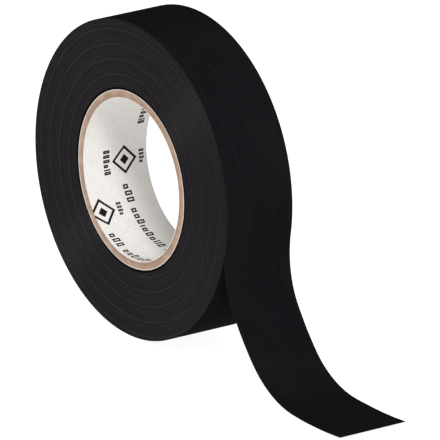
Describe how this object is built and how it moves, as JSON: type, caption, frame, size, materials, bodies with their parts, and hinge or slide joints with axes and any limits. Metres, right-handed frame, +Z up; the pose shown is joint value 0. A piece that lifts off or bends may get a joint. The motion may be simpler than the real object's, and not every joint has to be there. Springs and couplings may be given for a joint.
{
  "type": "electrical tape roll",
  "caption": "Roll of black vinyl electrical tape wound on a paperboard core with a white liner, with a short free tail that curls out flat",
  "frame": {"origin": "on the surface that the roll stands on, under the middle of the overall length from the roll to the tail's end, and midway across the tape's width", "axes": "+Z up; Y along the roll's axis, -Y out of the front side face; +X towards the side on which the tail leaves the roll"},
  "size_m": [0.1236, 0.019, 0.078],
  "materials": {
    "pvc_tape": "black plasticised PVC film with a soft satin sheen, pressure-sensitive rubber adhesive on its inner side",
    "kraft_paperboard": "tan cut paperboard, matt and fibrous",
    "core_paper": "pale outer paper ply, matt",
    "liner_paper": "smooth white liner paper with plain black print"
  },
  "bodies": {
    "outer_turn": {"outer_turn": "pvc_tape"},
    "roll": {"wound_pack": "pvc_tape", "core_wrap": "core_paper", "core_outer_ply": "kraft_paperboard", "core_middle_ply": "kraft_paperboard", "core_inner_ply": "kraft_paperboard", "core_liner": "liner_paper"},
    "tail_1": {"tail_link_1": "pvc_tape"},
    "tail_2": {"tail_link_2": "pvc_tape"},
    "tail_3": {"tail_link_3": "pvc_tape"},
    "tail_4": {"tail_link_4": "pvc_tape"},
    "tail_5": {"tail_link_5": "pvc_tape"}
  },
  "joints": [
    {"name": "unwind", "type": "hinge", "parent": "outer_turn", "child": "roll", "pos_m": [-0.02281, 0, 0.03898], "axis": [0, 1, 0], "continuous": true},
    {"name": "tail_lift", "type": "hinge", "parent": "outer_turn", "child": "tail_1", "pos_m": [0.01551, 0, 0.02841], "axis": [0, -1, 0], "range_deg": [0, 75]},
    {"name": "tail_bend_1", "type": "hinge", "parent": "tail_1", "child": "tail_2", "pos_m": [0.01883, 0, 0.01803], "axis": [0, -1, 0], "range_deg": [-18.8, 0]},
    {"name": "tail_bend_2", "type": "hinge", "parent": "tail_2", "child": "tail_3", "pos_m": [0.0255, 0, 0.0093], "axis": [0, -1, 0], "range_deg": [-16.6, 0]},
    {"name": "tail_bend_3", "type": "hinge", "parent": "tail_3", "child": "tail_4", "pos_m": [0.03414, 0, 0.00263], "axis": [0, -1, 0], "range_deg": [-22.6, 0]},
    {"name": "tail_bend_4", "type": "hinge", "parent": "tail_4", "child": "tail_5", "pos_m": [0.0448, 0, 0.00029], "axis": [0, -1, 0], "range_deg": [-15.1, 0]}
  ],
  "couplings": [
    {"joint": "tail_bend_1", "follows": "tail_lift", "ratio": -0.25},
    {"joint": "tail_bend_2", "follows": "tail_lift", "ratio": -0.22},
    {"joint": "tail_bend_3", "follows": "tail_lift", "ratio": -0.3},
    {"joint": "tail_bend_4", "follows": "tail_lift", "ratio": -0.2}
  ]
}
